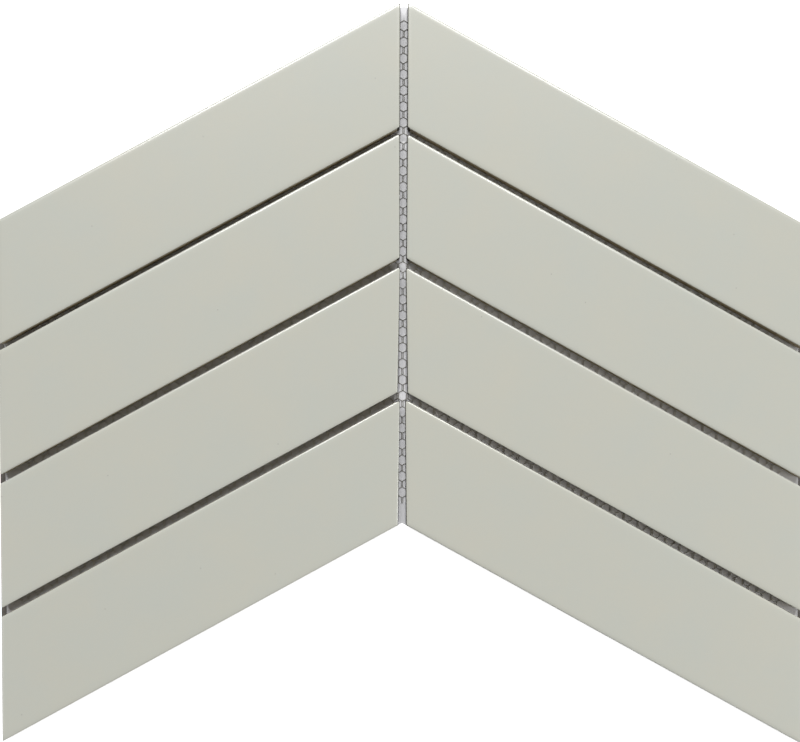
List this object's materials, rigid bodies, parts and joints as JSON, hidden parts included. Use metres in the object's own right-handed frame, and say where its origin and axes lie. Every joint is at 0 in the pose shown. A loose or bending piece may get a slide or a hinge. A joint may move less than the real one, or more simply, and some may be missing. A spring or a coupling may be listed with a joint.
{
  "type": "chevron wall tile",
  "caption": "Sheet of slanted glazed ceramic tiles in mirrored chevron rows with open joints, bonded to a hexagonal backing net, for tiling a wall.",
  "frame": {"origin": "middle of the sheet's outline, at the underside of the backing net", "axes": "+X across the sheet, +Y towards the chevron's apex, +Z out of the glazed face"},
  "size_m": [0.3, 0.2752, 0.0064],
  "materials": {
    "glazed_tile": "satin glaze, warm light grey",
    "net": "off-white knitted thread"
  },
  "bodies": {
    "root": {"tile_left_1": "glazed_tile", "tile_left_2": "glazed_tile", "tile_left_3": "glazed_tile", "tile_left_4": "glazed_tile", "tile_right_1": "glazed_tile", "tile_right_2": "glazed_tile", "tile_right_3": "glazed_tile", "tile_right_4": "glazed_tile", "backing_net": "net"}
  },
  "joints": []
}
